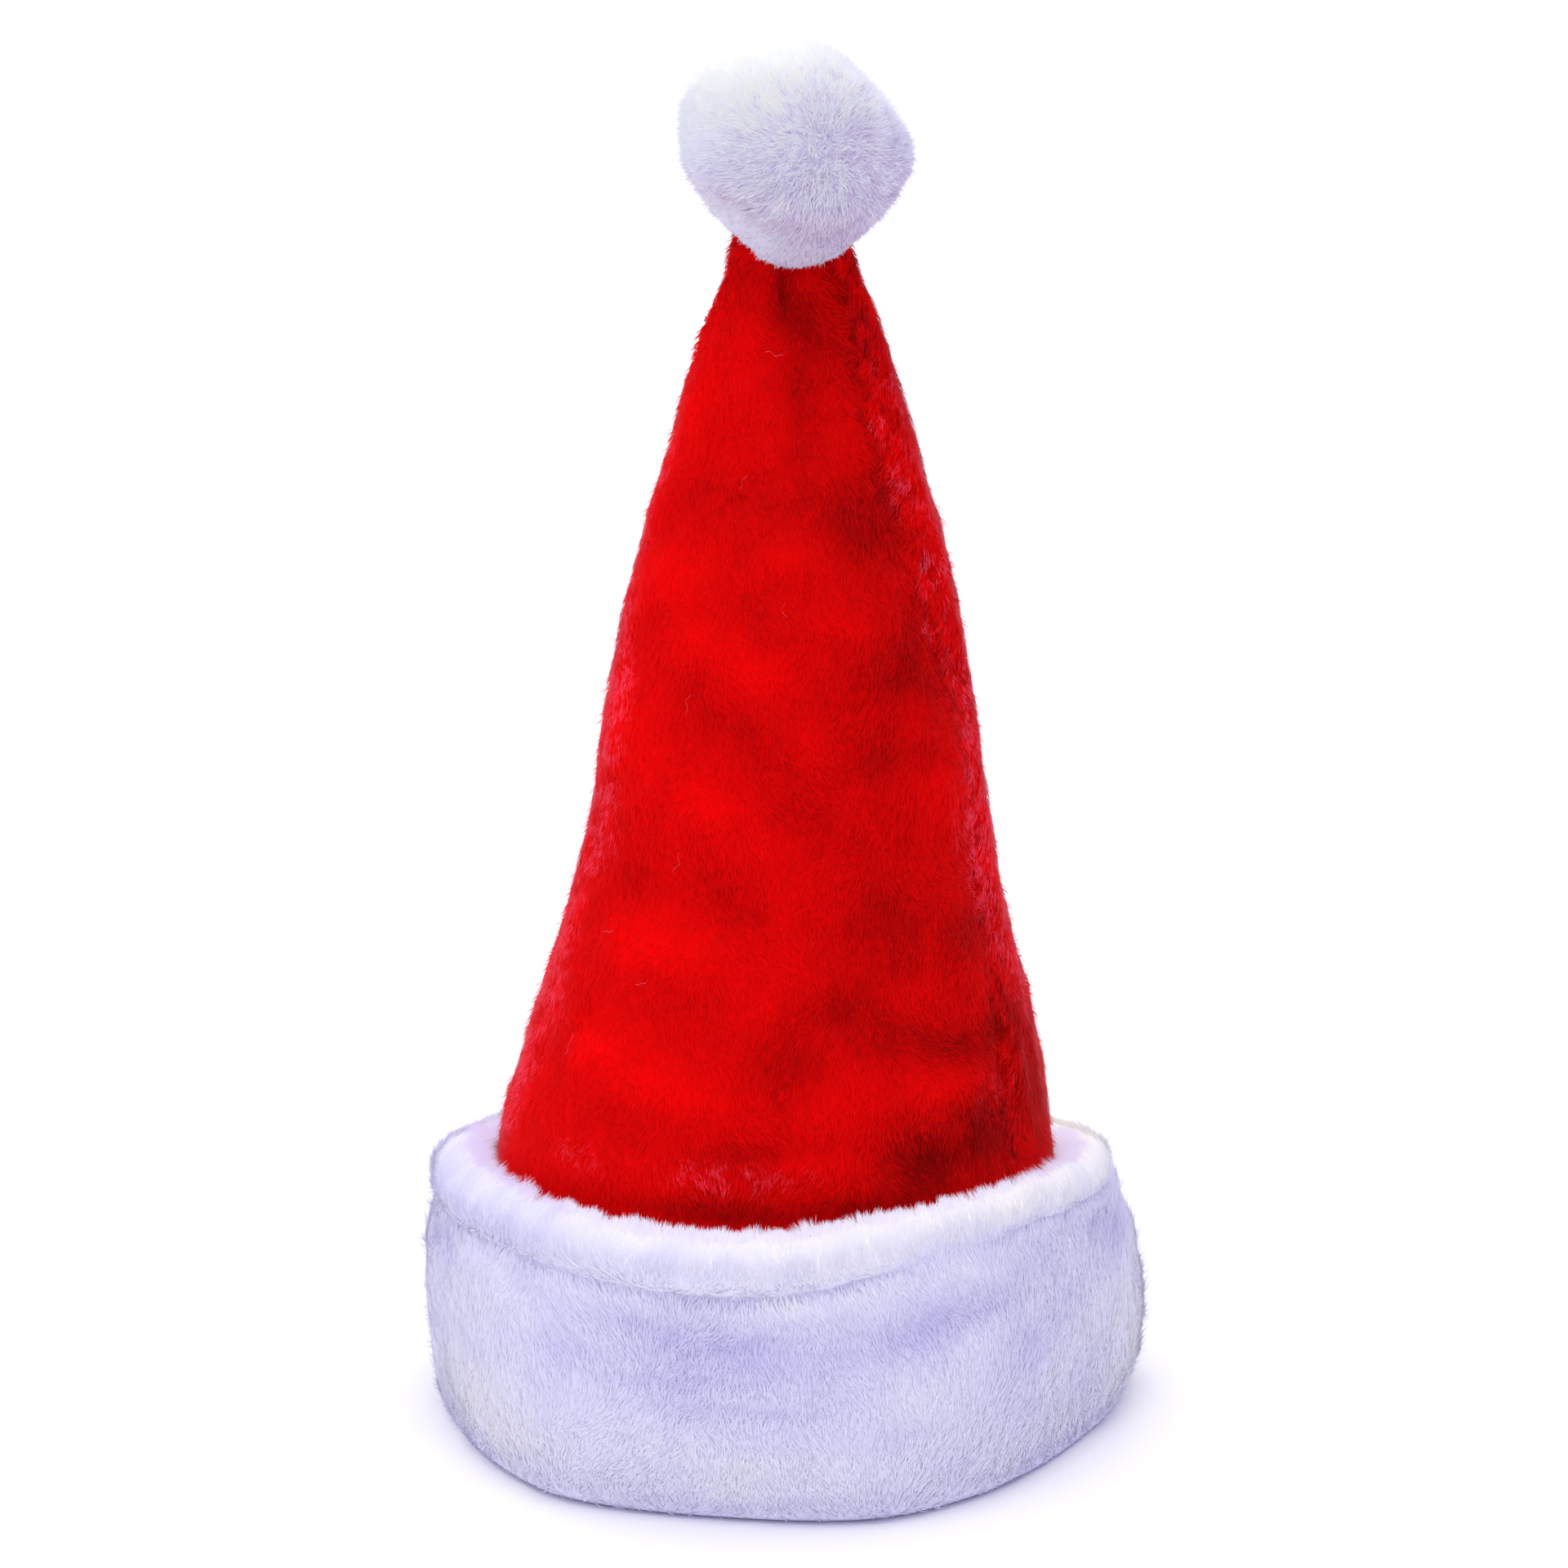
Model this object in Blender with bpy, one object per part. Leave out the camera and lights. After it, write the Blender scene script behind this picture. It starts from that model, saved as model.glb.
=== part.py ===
"""Plush Santa hat standing on its turned-up cuff: a crown, a cuff and a pompom. Metres, +Z up, front at -Y."""
import math
import random

import bmesh
import bpy
from mathutils import Vector

# Driving sizes in metres
CROWN_HALF = 0.095      # middle of the crown to its outside at the foot
CROWN_FOOT = 0.006      # floor to the crown's lower edge
CROWN_TALL = 0.361      # the crown from its lower edge to its tip
CROWN_WALL = 0.003      # cloth with its pile pressed down
CUFF_THICK = 0.015      # outside of the crown's foot to the outside of the cuff
CUFF_TALL = 0.083       # floor to the top of the cuff's roll
BALL_HALF = 0.0312      # pompom's middle to the roots of its locks
BALL_ABOVE = 0.0210     # crown's tip to the pompom's middle
BALL_RIGHT = 0.0015     # pompom's middle beside the hat's middle
BALL_FRONT = 0.0040     # pompom's middle before the hat's middle
PARTING = (0.22, -0.97, 0.05)
PIECE_GAP = 0.0003      # clear space between two pieces
SEAM_DEPTH = 0.0024     # how far a side seam pulls the cloth in
SEAM_FOOT = 0.22        # share of the crown's height below which the seams lie flat
SEAM_SPREAD = 4.0       # degrees from a seam to where its pull has died down
TUFT_REACH = 0.0022     # how far the tufts on the roll's inner edge stand out
LOCK_LONG = 0.0021      # tip of a lock above the pompom's ball
LOCK_LEAN = 0.0034      # how far a tip leans away from the parting
SEED = 24

# Sizes that follow
CUFF_HALF = CROWN_HALF + CUFF_THICK
BALL_UP = CROWN_FOOT + CROWN_TALL + BALL_ABOVE
LIP_REACH = CROWN_WALL + 2 * PIECE_GAP   # the cuff's lip inward of the crown's outside

# Mesh counts
CROWN_COLUMNS = 46
CROWN_ROWS = 19
SEAT_ROW = 13           # crown row from which the pompom's seat is cut
CUFF_COLUMNS = 2 * CROWN_COLUMNS
FIRST_AZIMUTH = -33.0   # degrees from +X to the right-hand seam
SEAM_COLUMNS = (0, 25)  # crown columns that carry the right and left seams

# Crown sections from the lower edge up, shares of CROWN_TALL and CROWN_HALF
SECTION_COLUMNS = ("up", "half_width", "half_depth", "right", "turn_degrees")
SECTIONS = (
    (0.000, 1.000, 0.968, -0.021, 0.0),
    (0.150, 0.934, 0.921, -0.030, 0.0),
    (0.227, 0.901, 0.889, -0.031, 0.0),
    (0.285, 0.846, 0.837, -0.012, 1.0),
    (0.343, 0.784, 0.774, 0.002, 3.0),
    (0.402, 0.719, 0.711, 0.003, 5.0),
    (0.460, 0.664, 0.663, 0.010, 8.0),
    (0.515, 0.624, 0.632, 0.025, 9.0),
    (0.573, 0.599, 0.600, 0.015, 10.0),
    (0.657, 0.541, 0.532, 0.020, 4.0),
    (0.740, 0.469, 0.440, 0.025, -2.0),
    (0.823, 0.377, 0.325, 0.030, -8.0),
    (0.875, 0.320, 0.255, 0.026, -6.0),
    (0.931, 0.247, 0.170, 0.030, 0.0),
    (0.978, 0.184, 0.108, 0.020, 4.0),
)

# Gathered tip above the sections, as up and half: shares of the height left and of the top section
GATHER = ((0.40, 0.86), (0.78, 0.55), (0.95, 0.24))

# Dents and bumps in the crown, as azimuth, up, wide (degrees), tall and deep.
# up and tall are shares of CROWN_TALL, deep is a share of CROWN_HALF
DENTS = (
    (-97, 0.940, 30, 0.022, 0.024),
    (-83, 0.850, 26, 0.030, 0.028),
    (-123, 0.796, 26, 0.030, 0.026),
    (-49, 0.763, 20, 0.030, 0.026),
    (-100, 0.600, 16, 0.030, 0.026),
    (-84, 0.548, 15, 0.024, 0.026),
    (-104, 0.476, 20, 0.026, 0.028),
    (-75, 0.399, 14, 0.022, 0.034),
    (-60, 0.350, 14, 0.024, 0.032),
    (-55, 0.268, 16, 0.024, 0.028),
    (-24, 0.268, 14, 0.022, 0.030),
    (-52, 0.690, 14, 0.040, 0.026),
    (-50, 0.587, 16, 0.030, 0.026),
    (-108, 0.680, 18, 0.034, -0.024),
    (-67, 0.715, 16, 0.028, -0.020),
    (-80, 0.610, 12, 0.024, -0.020),
    (-93, 0.505, 14, 0.024, -0.024),
    (-118, 0.410, 20, 0.034, -0.024),
    (-126, 0.325, 20, 0.030, -0.020),
    (-72, 0.318, 14, 0.024, -0.018),
    (-145, 0.445, 12, 0.018, 0.022),
    (120, 0.760, 26, 0.050, 0.030),
    (70, 0.640, 26, 0.050, 0.026),
    (100, 0.470, 24, 0.040, 0.034),
    (50, 0.400, 22, 0.050, -0.024),
    (130, 0.345, 22, 0.040, -0.022),
    (78, 0.290, 20, 0.022, 0.026),
    (20, 0.540, 18, 0.040, 0.020),
    (35, 0.810, 24, 0.040, 0.022),
)

# Lumps in the pompom, as right, back, up, spread and rise.
# The first three give a direction, spread is in degrees, rise is a share of BALL_HALF
LUMPS = (
    (1.00, 0.00, 0.00, 20, 0.070),
    (0.82, 0.00, 0.57, 26, -0.025),
    (0.00, 0.00, 1.00, 26, -0.035),
    (-0.84, 0.00, 0.54, 21, 0.055),
    (-0.84, 0.00, -0.54, 23, -0.135),
    (0.00, -0.30, -0.95, 26, 0.080),
    (0.82, 0.00, -0.57, 20, -0.070),
    (0.20, 0.98, 0.10, 30, 0.030),
    (-0.30, -0.95, 0.20, 26, 0.015),
)

# Outline of the cuff by azimuth: foot and rim radius in shares of CUFF_HALF, roll top in shares of CUFF_TALL,
# slack between roll and crown in shares of the wall there
PLAN_COLUMNS = ("azimuth", "foot", "rim", "height", "slack")
PLAN = (
    (-180, 0.981, 0.975, 0.996, 0.22),
    (-160, 0.963, 0.955, 1.000, 0.14),
    (-142, 0.982, 0.925, 1.000, 0.06),
    (-128, 1.005, 0.930, 0.998, 0.03),
    (-113, 0.968, 0.955, 0.996, 0.02),
    (-99, 0.948, 0.959, 0.994, 0.02),
    (-86, 0.966, 0.927, 1.004, 0.02),
    (-75, 0.986, 0.885, 1.022, 0.02),
    (-60, 0.955, 0.868, 1.034, 0.02),
    (-42, 0.914, 0.860, 1.030, 0.04),
    (-25, 0.910, 0.870, 1.022, 0.10),
    (-9, 0.955, 0.892, 1.005, 0.20),
    (8, 1.000, 0.920, 0.975, 0.24),
    (30, 0.988, 0.922, 0.920, 0.20),
    (60, 0.955, 0.915, 0.905, 0.14),
    (90, 0.945, 0.910, 0.880, 0.10),
    (120, 0.955, 0.922, 0.880, 0.14),
    (150, 0.978, 0.945, 0.915, 0.20),
)

# Cuff section, closed round, as out and up: shares of the wall and of the roll top's height
PROFILE = (
    (0.20, 0.000),
    (0.82, 0.000),
    (0.98, 0.035),
    (1.05, 0.120),
    (1.13, 0.300),
    (1.15, 0.500),
    (1.11, 0.690),
    (0.94, 0.815),
    (1.06, 0.870),
    (1.00, 0.945),
    (0.76, 1.000),
    (0.44, 0.995),
    (0.16, 0.955),
)
TUFT_ROW = 12           # profile row that carries the tufts
INNER_TOP = 0.90        # share of the height where the inner face begins
SLACK_END = 0.62        # share of the height where the cuff closes on the crown

# Dents and bumps in the cuff's outer face, with the crown's columns, in shares of CUFF_TALL and CUFF_HALF
CUFF_DENTS = (
    (-160, 0.58, 12, 0.16, 0.020),
    (-110, 0.50, 12, 0.10, 0.014),
    (-72, 0.50, 8, 0.16, 0.014),
    (-10, 0.62, 12, 0.16, 0.020),
    (-50, 0.26, 16, 0.14, -0.018),
    (-130, 0.28, 20, 0.16, -0.014),
    (-92, 0.20, 14, 0.12, -0.010),
    (-35, 0.60, 10, 0.14, 0.012),
    (35, 0.50, 14, 0.20, 0.020),
    (80, 0.45, 16, 0.20, -0.014),
    (115, 0.55, 14, 0.20, 0.018),
    (150, 0.40, 14, 0.20, -0.014),
)

# Colours (linear), roughness
RED_PLUSH = ((0.60, 0.002, 0.004), 0.90)
WHITE_PLUSH = ((0.80, 0.79, 0.84), 0.92)


def mix(low, high, share):
    """The value `share` of the way from low to high."""
    return low + (high - low) * share


def angle_between(one, other):
    """Degrees from one azimuth to another, -180 to 180."""
    return (one - other + 180.0) % 360.0 - 180.0


def curve_through(values, place, share):
    """Smooth curve through values[place] and values[place + 1], its four neighbours in `values`."""
    before, start, end, after = values[place:place + 4]
    slope_start = (end - before) / 2.0
    slope_end = (after - start) / 2.0
    cube = 2.0 * start - 2.0 * end + slope_start + slope_end
    square = 3.0 * end - 3.0 * start - 2.0 * slope_start - slope_end
    return ((cube * share + square) * share + slope_start) * share + start


def section_at(up):
    """Row of SECTIONS at a share of the crown's height, as a dict of columns."""
    first = [2.0 * start - after for start, after in zip(SECTIONS[0], SECTIONS[1])]
    last = [2.0 * end - before for before, end in zip(SECTIONS[-2], SECTIONS[-1])]
    rows = (first, *SECTIONS, last)
    place = 0
    while place < len(SECTIONS) - 2 and SECTIONS[place + 1][0] < up:
        place += 1
    low, high = SECTIONS[place][0], SECTIONS[place + 1][0]
    share = (up - low) / (high - low)
    return {name: curve_through([row[i] for row in rows], place, share)
            for i, name in enumerate(SECTION_COLUMNS)}


def plan_at(azimuth):
    """Row of PLAN at an azimuth, as a dict of columns."""
    count = len(PLAN)
    place = max(i for i in range(count) if PLAN[i][0] <= angle_between(azimuth, 0.0))
    width = (PLAN[(place + 1) % count][0] - PLAN[place][0]) % 360.0
    share = angle_between(azimuth, PLAN[place][0]) / width
    rows = [PLAN[(place + step) % count] for step in (-1, 0, 1, 2)]
    return {name: curve_through([row[i] for row in rows], 0, share)
            for i, name in enumerate(PLAN_COLUMNS)}


def dent_depth(dents, azimuth, up):
    """Summed depth of the dents at a place, in the table's own shares."""
    depth = 0.0
    for middle, height, wide, tall, deep in dents:
        across = angle_between(azimuth, middle) / wide
        along = (up - height) / tall
        depth += deep * math.exp(-across * across - along * along)
    return depth


def crown_azimuth(column, up):
    """Azimuth of a crown column, which wanders with its seam."""
    return FIRST_AZIMUTH + 360.0 * column / CROWN_COLUMNS + section_at(up)["turn_degrees"]


def seam_depth(azimuth, up):
    """How far the side seams pull the crown in at a place."""
    fade = min(max((up - SEAM_FOOT) / SEAM_FOOT, 0.0), 1.0)
    depth = 0.0
    for column in SEAM_COLUMNS:
        off = angle_between(azimuth, crown_azimuth(column, up)) / SEAM_SPREAD
        depth += SEAM_DEPTH * fade * math.exp(-off * off)
    return depth


def crown_point(azimuth, up, grow=0.0):
    """A point of the crown's outer face, moved out by `grow`."""
    section = section_at(up)
    turn = math.radians(azimuth)
    out = grow - CROWN_HALF * dent_depth(DENTS, azimuth, up) - seam_depth(azimuth, up)
    across = CROWN_HALF * section["half_width"] + out
    along = CROWN_HALF * section["half_depth"] + out
    return Vector((CROWN_HALF * section["right"] + across * math.cos(turn),
                   along * math.sin(turn),
                   CROWN_FOOT + CROWN_TALL * up))


def new_piece(name, bm, material):
    """Links a mesh as an object with outward faces and smooth shading."""
    bmesh.ops.recalc_face_normals(bm, faces=bm.faces)
    mesh = bpy.data.meshes.new(name)
    bm.to_mesh(mesh)
    bm.free()
    mesh.materials.append(material)
    mesh.shade_smooth()
    piece = bpy.data.objects.new(name, mesh)
    bpy.context.scene.collection.objects.link(piece)
    return piece


def new_material(name, look):
    """A matt cloth material."""
    colour, roughness = look
    material = bpy.data.materials.new(name)
    material.use_nodes = True
    shader = material.node_tree.nodes["Principled BSDF"]
    shader.inputs["Base Color"].default_value = (*colour, 1.0)
    shader.inputs["Roughness"].default_value = roughness
    shader.inputs["Metallic"].default_value = 0.0
    material.diffuse_color = (*colour, 1.0)
    return material


def join_rings(bm, rings, closed=False):
    """Quads between each ring and the next, and from the last back to the first if closed."""
    pairs = list(zip(rings, rings[1:]))
    if closed:
        pairs.append((rings[-1], rings[0]))
    for low, high in pairs:
        for i, corner in enumerate(low):
            after = (i + 1) % len(low)
            bm.faces.new((corner, low[after], high[after], high[i]))


def cone_face(bm, first_row, grow):
    """The crown's outer face moved out by `grow`, from a row up to the gathered tip. Returns its lowest ring."""
    top = SECTIONS[-1][0]
    rings = []
    for row in range(first_row, CROWN_ROWS + 1):
        up = top * row / CROWN_ROWS
        rings.append([bm.verts.new(crown_point(crown_azimuth(column, up), up, grow))
                      for column in range(CROWN_COLUMNS)])
    middle = sum((corner.co for corner in rings[-1]), Vector()) / CROWN_COLUMNS
    peak = CROWN_FOOT + CROWN_TALL + grow
    rim = rings[-1]
    for share_up, share_half in GATHER:
        ring = []
        for corner in rim:
            place = middle + (corner.co - middle) * share_half
            place.z = mix(middle.z, peak, share_up)
            ring.append(bm.verts.new(place))
        rings.append(ring)
    join_rings(bm, rings)
    tip = bm.verts.new((middle.x, middle.y, peak))
    for i, corner in enumerate(rings[-1]):
        bm.faces.new((corner, rings[-1][(i + 1) % CROWN_COLUMNS], tip))
    return rings[0]


def build_crown(material):
    """The sewn cone: an outer and an inner face joined round the foot."""
    bm = bmesh.new()
    outer = cone_face(bm, 0, 0.0)
    inner = cone_face(bm, 0, -CROWN_WALL)
    join_rings(bm, [outer, inner])
    return new_piece("crown", bm, material)


def cuff_point(azimuth, out, up):
    """A point of the cuff: `out` across its wall from the crown's face, `up` its height."""
    plan = plan_at(azimuth)
    height = CUFF_TALL * plan["height"] * up
    crown_up = max(height - CROWN_FOOT, 0.0) / CROWN_TALL
    inner = crown_point(azimuth, crown_up, PIECE_GAP)
    outer_radius = CUFF_HALF * mix(plan["foot"], plan["rim"], up * up)
    outer_radius -= CUFF_HALF * dent_depth(CUFF_DENTS, azimuth, up)
    heading = Vector((math.cos(math.radians(azimuth)), math.sin(math.radians(azimuth)), 0.0))
    inner_flat = Vector((inner.x, inner.y, 0.0))
    wall = heading * outer_radius - inner_flat
    slack = plan["slack"] * min(max((up - SLACK_END) / (1.0 - SLACK_END), 0.0), 1.0)
    place = inner_flat + wall * (slack + (1.0 - slack) * out)
    place.z = height
    return place


def build_cuff(material):
    """The doubled band: a flat foot, a round outer fold, a crease, a roll and a lip under the crown."""
    bm = bmesh.new()
    lip = CROWN_FOOT - PIECE_GAP
    columns = [FIRST_AZIMUTH + 360.0 * column / CUFF_COLUMNS for column in range(CUFF_COLUMNS)]
    places = [[cuff_point(azimuth, out, up) for azimuth in columns] for out, up in PROFILE]
    for i, place in enumerate(places[TUFT_ROW]):
        place.z += TUFT_REACH * (0.5 if i % 2 else -0.5)
    for up in (INNER_TOP, SLACK_END):
        places.append([cuff_point(azimuth, 0.0, up) for azimuth in columns])
    for inward, height in ((0.0, lip), (LIP_REACH, lip), (LIP_REACH, 0.4 * lip)):
        ring = []
        for azimuth in columns:
            place = crown_point(azimuth, 0.0, PIECE_GAP - inward)
            place.z = height
            ring.append(place)
        places.append(ring)
    join_rings(bm, [[bm.verts.new(place) for place in ring] for ring in places], closed=True)
    return new_piece("cuff", bm, material)


def lump_rise(heading):
    """Summed rise of the pompom's lumps in a direction, in shares of BALL_HALF."""
    rise = 0.0
    for right, back, up, spread, height in LUMPS:
        off = math.degrees(heading.angle(Vector((right, back, up)))) / spread
        rise += height * math.exp(-off * off)
    return rise


def meets_seat(place):
    """Whether a place on the pompom is within a lock's reach of the crown's top section."""
    top = section_at(SECTIONS[-1][0])
    across = (place.x - CROWN_HALF * top["right"]) / (CROWN_HALF * top["half_width"] + LOCK_LEAN)
    along = place.y / (CROWN_HALF * top["half_depth"] + LOCK_LEAN)
    return place.z < BALL_UP and across * across + along * along < 1.0


def build_pompom(material):
    """A ball of short locks combed away from a parting, hollowed underneath for the crown's tip."""
    random.seed(SEED)
    parting = Vector(PARTING).normalized()
    middle = Vector((BALL_RIGHT, -BALL_FRONT, BALL_UP))
    bm = bmesh.new()
    bmesh.ops.create_icosphere(bm, subdivisions=4, radius=BALL_HALF)
    for corner in bm.verts:
        corner.co = middle + corner.co * (1.0 + lump_rise(corner.co))
    rooted = [face for face in bm.faces if not meets_seat(face.calc_center_median())]
    for tip in bmesh.ops.poke(bm, faces=rooted)["verts"]:
        heading = (tip.co - middle).normalized()
        along = heading.dot(parting)
        comb = (heading * along - parting) * (1.0 + along)
        size = random.uniform(0.75, 1.2)
        tip.co += (heading * LOCK_LONG + comb * LOCK_LEAN) * size
    pompom = new_piece("pompom", bm, material)

    bm = bmesh.new()
    bm.faces.new(reversed(cone_face(bm, SEAT_ROW, PIECE_GAP)))
    seat = new_piece("seat_cutter", bm, material)
    seat.hide_render = True
    seat.display_type = "WIRE"
    cut = pompom.modifiers.new("seat", "BOOLEAN")
    cut.operation = "DIFFERENCE"
    cut.solver = "EXACT"
    cut.object = seat
    return pompom, seat


def centre_on_footprint(pieces):
    """Moves every mesh so that the middle of the hat's footprint box is at the origin."""
    corners = [corner.co for piece in pieces for corner in piece.data.vertices]
    across = [corner.x for corner in corners]
    along = [corner.y for corner in corners]
    shift = Vector((-(min(across) + max(across)) / 2.0, -(min(along) + max(along)) / 2.0, 0.0))
    for piece in pieces:
        for corner in piece.data.vertices:
            corner.co += shift


def main():
    for old in list(bpy.data.objects):
        bpy.data.objects.remove(old, do_unlink=True)
    red = new_material("red_plush", RED_PLUSH)
    white = new_material("white_plush", WHITE_PLUSH)
    crown = build_crown(red)
    cuff = build_cuff(white)
    pompom, seat = build_pompom(white)
    centre_on_footprint([crown, cuff, pompom, seat])


main()
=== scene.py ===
"""Plush Santa hat: cloth, pile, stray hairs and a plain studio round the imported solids."""
import math

import bmesh
import bpy
import numpy as np
from bpy.props import FloatProperty, FloatVectorProperty, IntProperty, PointerProperty
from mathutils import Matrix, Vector
from mathutils.bvhtree import BVHTree
from mathutils.kdtree import KDTree


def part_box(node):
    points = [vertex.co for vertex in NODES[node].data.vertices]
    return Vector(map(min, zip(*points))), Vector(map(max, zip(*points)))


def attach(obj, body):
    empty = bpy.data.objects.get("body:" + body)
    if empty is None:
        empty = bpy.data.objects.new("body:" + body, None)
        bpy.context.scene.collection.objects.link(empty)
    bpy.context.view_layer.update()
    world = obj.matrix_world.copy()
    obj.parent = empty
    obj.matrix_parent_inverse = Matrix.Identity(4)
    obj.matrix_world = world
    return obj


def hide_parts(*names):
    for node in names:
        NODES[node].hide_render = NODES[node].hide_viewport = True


bl_info = {
    "name": "Plush Santa Hat",
    "version": (1, 0, 0),
    "blender": (4, 5, 0),
    "location": "3D View > Sidebar > Hat",
    "description": "Sewn plush hat with a turned-up cuff and a pompom",
    "category": "Object",
}

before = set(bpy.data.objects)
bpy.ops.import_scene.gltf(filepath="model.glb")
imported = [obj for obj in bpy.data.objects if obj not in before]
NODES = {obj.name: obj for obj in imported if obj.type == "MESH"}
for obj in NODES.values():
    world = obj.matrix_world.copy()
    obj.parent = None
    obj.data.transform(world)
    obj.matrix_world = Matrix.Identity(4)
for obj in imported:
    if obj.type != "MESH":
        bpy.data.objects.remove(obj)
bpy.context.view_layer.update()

UP = np.array((0.0, 0.0, 1.0))
CROWN_FOOT = 0.006
CROWN_TALL = 0.361
CROWN_TIP = 0.365         # height at which the cloth flares under the pompom
BARE_FOOT = 0.066         # the crown grows no pile below this height, inside the cuff
PLUSH_RISE = 0.0008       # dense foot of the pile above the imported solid
LEFT_SEAM_TURN = 195.65   # degrees from the right seam to the left one
PUCKER_PITCH = 0.010      # from one pucker of a seam to the next
ROOT_SINK = 0.0003        # how far a hair's root sits in its skin
FLOOR_GAP = 0.0004        # least height of a hair's tip
TIP_REACH = 0.6           # reach of a plain hair's tip, and of a bare skin
POMPOM_HEART = 0.0325     # middle of the ball below its top
POMPOM_PARTING = (0.30, -0.95, 0.08)
POMPOM_LIT = (-0.45, -0.10, 0.88)
STRAY_RADIUS = 0.00004
STRAY_LIFT = 0.0014       # a stray hair above the cloth
STRAY_COLOUR = (0.80, 0.24, 0.27, 1.0)
BACKING_COLOURS = ((0.16, 0.001, 0.002), (0.30, 0.005, 0.008))
# Deep, main and pale of the fringe, whose lavender and pink tints are painted shade and light thrown from the
# red crown
FRINGE_SHADED_COLOURS = ((0.68, 0.62, 0.86), (0.82, 0.79, 0.95), (0.90, 0.88, 0.98))
WHITE_SHEEN = (1.0, 0.98, 1.0)
LIGHT_SPREAD = math.radians(60)

# Smooth random fields: amount, wavelength in metres and seed of each
CROWN_UNEVEN = ((0.00040, 0.018, 12), (0.00022, 0.009, 19))
CROWN_MOTTLE = ((0.05, 0.030, 17), (0.03, 0.010, 18))
SEAM_MOTTLE = ((0.12, 0.006, 21), (0.08, 0.003, 22))
# The next field breaks up the painted sheen on the crown's tips
PAINTED_SHEEN_BREAKS = ((0.45, 0.006, 23), (0.35, 0.0025, 24))
CROWN_SWIRL = ((0.45, 0.05, 15), (0.25, 0.015, 16))
CUFF_SWIRL = ((0.40, 0.05, 33), (0.25, 0.014, 34))
FRINGE_SWIRL = ((0.35, 0.012, 38), (0.25, 0.004, 39))
POMPOM_SWIRL = ((0.30, 0.03, 51), (0.15, 0.008, 54))

# Right seam of the crown: share of its height and azimuth
RIGHT_SEAM = ((0.00, -33), (0.23, -33), (0.34, -30), (0.46, -25), (0.57, -23), (0.66, -29),
              (0.74, -35), (0.82, -41), (0.88, -39), (0.93, -33), (1.00, -29))

# Hollows and ridges of the crown's cloth, also painted on its pile as shade in the hollows and highlight on
# the ridges:
# azimuth, share of the height, spreads in degrees and in shares, shade (below zero a hollow in painted shade)
CROWN_FOLDS_AND_SHADE = (
    (-17, 0.500, 11, 0.045, 0.45), (-9, 0.440, 9, 0.060, 0.25), (-96, 0.950, 18, 0.024, -1.50),
    (-68, 0.930, 12, 0.024, -0.80), (-81, 0.860, 11, 0.045, -0.50), (-70, 0.785, 12, 0.018, -0.35),
    (-52, 0.770, 20, 0.030, -0.80), (-44, 0.665, 14, 0.034, -0.65), (-58, 0.645, 10, 0.020, -0.40),
    (-62, 0.585, 11, 0.020, -0.80), (-45, 0.585, 9, 0.016, -0.40), (-103, 0.608, 9, 0.016, -0.40),
    (-93, 0.575, 9, 0.016, -0.45), (-83, 0.545, 9, 0.018, -0.45), (-112, 0.490, 9, 0.014, -0.40),
    (-103, 0.470, 8, 0.016, -0.45), (-62, 0.465, 9, 0.045, -0.75), (-36, 0.430, 8, 0.020, -0.60),
    (-74, 0.392, 9, 0.020, -0.70), (-64, 0.368, 10, 0.016, -0.60), (-47, 0.348, 18, 0.018, -0.85),
    (-25, 0.345, 9, 0.030, -0.60), (-88, 0.345, 8, 0.030, -0.60), (-98, 0.277, 13, 0.014, -0.75),
    (-60, 0.262, 10, 0.026, -1.45), (-38, 0.275, 14, 0.032, -1.05), (-100, 0.232, 24, 0.013, -1.10),
    (-70, 0.236, 14, 0.010, -0.60), (-154, 0.330, 9, 0.030, -0.40), (-118, 0.790, 18, 0.016, -0.60),
    (-125, 0.900, 18, 0.050, 0.50), (-140, 0.725, 26, 0.024, 0.55), (-93, 0.743, 10, 0.016, 0.60),
    (-118, 0.678, 12, 0.016, 0.85), (-102, 0.655, 12, 0.020, 0.90), (-72, 0.697, 12, 0.013, 0.70),
    (-83, 0.600, 8, 0.022, 0.50), (-138, 0.580, 22, 0.040, 0.60), (-112, 0.550, 12, 0.018, 0.65),
    (-97, 0.520, 11, 0.020, 0.75), (-92, 0.485, 8, 0.018, 0.50), (-125, 0.430, 18, 0.020, 1.00),
    (-84, 0.430, 9, 0.024, 0.30), (-138, 0.342, 14, 0.016, 0.75), (-120, 0.322, 14, 0.014, 0.90),
    (-75, 0.330, 9, 0.020, 0.45), (-56, 0.396, 9, 0.012, 0.40), (-32, 0.540, 11, 0.026, 0.60),
    (-50, 0.318, 13, 0.008, 0.55), (-86, 0.272, 8, 0.007, 0.65), (-128, 0.250, 14, 0.018, 0.40),
    (-24, 0.925, 12, 0.030, -0.30), (-156, 0.854, 12, 0.030, 0.70), (-158, 0.620, 10, 0.050, 0.55),
    (-136, 0.478, 13, 0.018, -0.45), (-96, 0.258, 8, 0.010, -0.25), (-92, 0.570, 9, 0.014, 0.35),
    (-80, 0.670, 8, 0.014, 0.20), (-15, 0.300, 10, 0.060, -0.50),
)
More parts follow.
